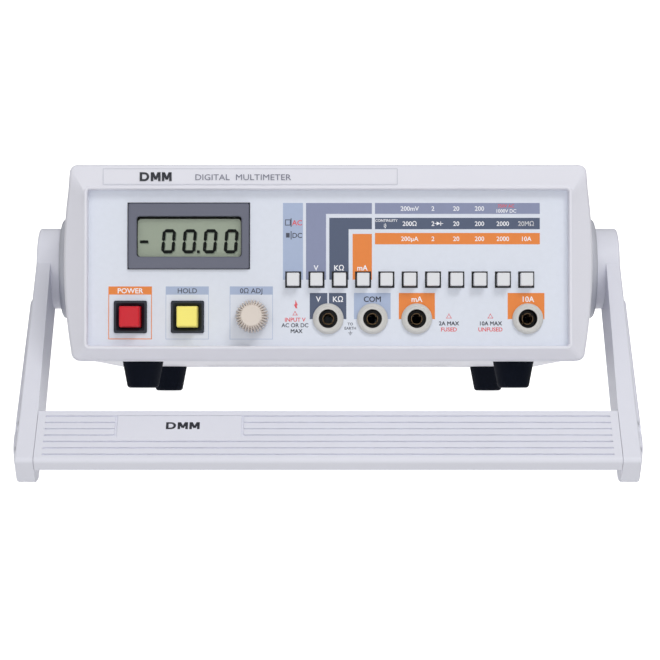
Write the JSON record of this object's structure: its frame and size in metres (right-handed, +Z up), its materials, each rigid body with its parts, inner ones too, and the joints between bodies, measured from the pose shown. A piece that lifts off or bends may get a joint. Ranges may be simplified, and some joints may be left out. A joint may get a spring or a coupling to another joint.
{
  "type": "bench multimeter",
  "caption": "Mains-powered bench digital multimeter with push-key range selector, safety jacks and a swinging U handle that doubles as a stand.",
  "frame": {"origin": "centre of the bounding box's bottom, on the bench, as it stands tilted back on its handle and rear feet", "axes": "+X to the right seen from the front, +Y from the front panel to the back, +Z up"},
  "size_m": [0.2686, 0.2496, 0.1335],
  "materials": {
    "case_plastic": "fine moulded texture, lavender white",
    "panel_face": "printed overlay, satin",
    "display_surround": "slate grey moulding",
    "clear_window": "clear acrylic",
    "lcd": "grey-green reflective liquid crystal cell",
    "circuit_board": "green solder mask",
    "switch_black": "black moulding",
    "button_red": "red moulding",
    "button_yellow": "yellow moulding",
    "knob_cream": "cream moulding",
    "key_cap": "warm grey moulding",
    "jack_collar": "light grey moulding",
    "jack_insert": "black moulding",
    "plated_contact": "nickel plated brass",
    "shaft_steel": "plain steel",
    "transformer_steel": "varnished laminations",
    "capacitor_sleeve": "shrink sleeve",
    "fuse_glass": "glass tube",
    "shunt_metal": "copper alloy strip",
    "rear_plate": "painted aluminium sheet",
    "foot_rubber": "soft rubber"
  },
  "bodies": {
    "root": {"board_standoffs": "plated_contact", "bottom_cover": "case_plastic", "case_screws": "shaft_steel", "converter_chips": "switch_black", "display_board": "circuit_board", "display_frame": "display_surround", "display_window": "clear_window", "filter_capacitors": "capacitor_sleeve", "foot_front_left": "foot_rubber", "foot_front_right": "foot_rubber", "foot_rear_left": "foot_rubber", "foot_rear_right": "foot_rubber", "foot_screws": "shaft_steel", "front_bezel": "case_plastic", "front_panel": "panel_face", "fuse_holder": "switch_black", "handle_hub_left": "case_plastic", "handle_hub_right": "case_plastic", "hold_switch_body": "switch_black", "hold_switch_surround": "switch_black", "inlet_pins": "plated_contact", "input_fuse": "fuse_glass", "jack_collars": "jack_collar", "jack_contacts": "plated_contact", "jack_inserts": "jack_insert", "jack_nuts": "plated_contact", "key_switch_bank": "switch_black", "lcd_glass": "lcd", "main_board": "circuit_board", "mains_inlet": "switch_black", "pivot_screws": "shaft_steel", "power_switch_body": "switch_black", "power_switch_surround": "switch_black", "rear_panel": "rear_plate", "shunt_resistor": "shunt_metal", "top_cover": "case_plastic", "transformer": "transformer_steel", "voltage_selector": "switch_black", "zero_adjust_pot": "switch_black"},
    "handle": {"handle_arm_left": "case_plastic", "handle_arm_right": "case_plastic", "handle_grip": "case_plastic", "grip_screws": "shaft_steel"},
    "power_push": {"power_button": "button_red"},
    "hold_push": {"hold_button": "button_yellow"},
    "zero_knob": {"zero_adjust_knob": "knob_cream", "zero_adjust_shaft": "shaft_steel"},
    "fuse_cap": {"fuse_holder_cap": "switch_black"},
    "selector_slide": {"voltage_selector_slider": "button_red"},
    "key_01_push": {"key_01": "key_cap"},
    "key_02_push": {"key_02": "key_cap"},
    "key_03_push": {"key_03": "key_cap"},
    "key_04_push": {"key_04": "key_cap"},
    "key_05_push": {"key_05": "key_cap"},
    "key_06_push": {"key_06": "key_cap"},
    "key_07_push": {"key_07": "key_cap"},
    "key_08_push": {"key_08": "key_cap"},
    "key_09_push": {"key_09": "key_cap"},
    "key_10_push": {"key_10": "key_cap"},
    "key_11_push": {"key_11": "key_cap"}
  },
  "joints": [
    {"name": "handle_swing", "type": "hinge", "parent": "root", "child": "handle", "pos_m": [0, -0.01525, 0.07845], "axis": [1, 0, 0], "range_deg": [-194, 106]},
    {"name": "power_press", "type": "slide", "parent": "root", "child": "power_push", "axis": [0, 0.981, -0.1942], "range_m": [0, 0.0035], "stiffness_N_per_m": 600, "springref_m": -0.0025},
    {"name": "hold_press", "type": "slide", "parent": "root", "child": "hold_push", "axis": [0, 0.981, -0.1942], "range_m": [0, 0.0035], "stiffness_N_per_m": 600, "springref_m": -0.0025},
    {"name": "zero_adjust_turn", "type": "hinge", "parent": "root", "child": "zero_knob", "pos_m": [-0.03265, -0.0966, 0.06917], "axis": [0, 0.981, -0.1942], "range_deg": [-140, 140]},
    {"name": "fuse_cap_turn", "type": "hinge", "parent": "root", "child": "fuse_cap", "pos_m": [-0.025, 0.11188, 0.05124], "axis": [0, 0.981, -0.1942], "range_deg": [0, 60]},
    {"name": "voltage_select", "type": "slide", "parent": "root", "child": "selector_slide", "axis": [1, 0, 0], "range_m": [0, 0.005]},
    {"name": "key_01_press", "type": "slide", "parent": "root", "child": "key_01_push", "axis": [0, 0.981, -0.1942], "range_m": [0, 0.003], "stiffness_N_per_m": 400, "springref_m": -0.002},
    {"name": "key_02_press", "type": "slide", "parent": "root", "child": "key_02_push", "axis": [0, 0.981, -0.1942], "range_m": [0, 0.003], "stiffness_N_per_m": 400, "springref_m": -0.002},
    {"name": "key_03_press", "type": "slide", "parent": "root", "child": "key_03_push", "axis": [0, 0.981, -0.1942], "range_m": [0, 0.003], "stiffness_N_per_m": 400, "springref_m": -0.002},
    {"name": "key_04_press", "type": "slide", "parent": "root", "child": "key_04_push", "axis": [0, 0.981, -0.1942], "range_m": [0, 0.003], "stiffness_N_per_m": 400, "springref_m": -0.002},
    {"name": "key_05_press", "type": "slide", "parent": "root", "child": "key_05_push", "axis": [0, 0.981, -0.1942], "range_m": [0, 0.003], "stiffness_N_per_m": 400, "springref_m": -0.002},
    {"name": "key_06_press", "type": "slide", "parent": "root", "child": "key_06_push", "axis": [0, 0.981, -0.1942], "range_m": [0, 0.003], "stiffness_N_per_m": 400, "springref_m": -0.002},
    {"name": "key_07_press", "type": "slide", "parent": "root", "child": "key_07_push", "axis": [0, 0.981, -0.1942], "range_m": [0, 0.003], "stiffness_N_per_m": 400, "springref_m": -0.002},
    {"name": "key_08_press", "type": "slide", "parent": "root", "child": "key_08_push", "axis": [0, 0.981, -0.1942], "range_m": [0, 0.003], "stiffness_N_per_m": 400, "springref_m": -0.002},
    {"name": "key_09_press", "type": "slide", "parent": "root", "child": "key_09_push", "axis": [0, 0.981, -0.1942], "range_m": [0, 0.003], "stiffness_N_per_m": 400, "springref_m": -0.002},
    {"name": "key_10_press", "type": "slide", "parent": "root", "child": "key_10_push", "axis": [0, 0.981, -0.1942], "range_m": [0, 0.003], "stiffness_N_per_m": 400, "springref_m": -0.002},
    {"name": "key_11_press", "type": "slide", "parent": "root", "child": "key_11_push", "axis": [0, 0.981, -0.1942], "range_m": [0, 0.003], "stiffness_N_per_m": 400, "springref_m": -0.002}
  ]
}
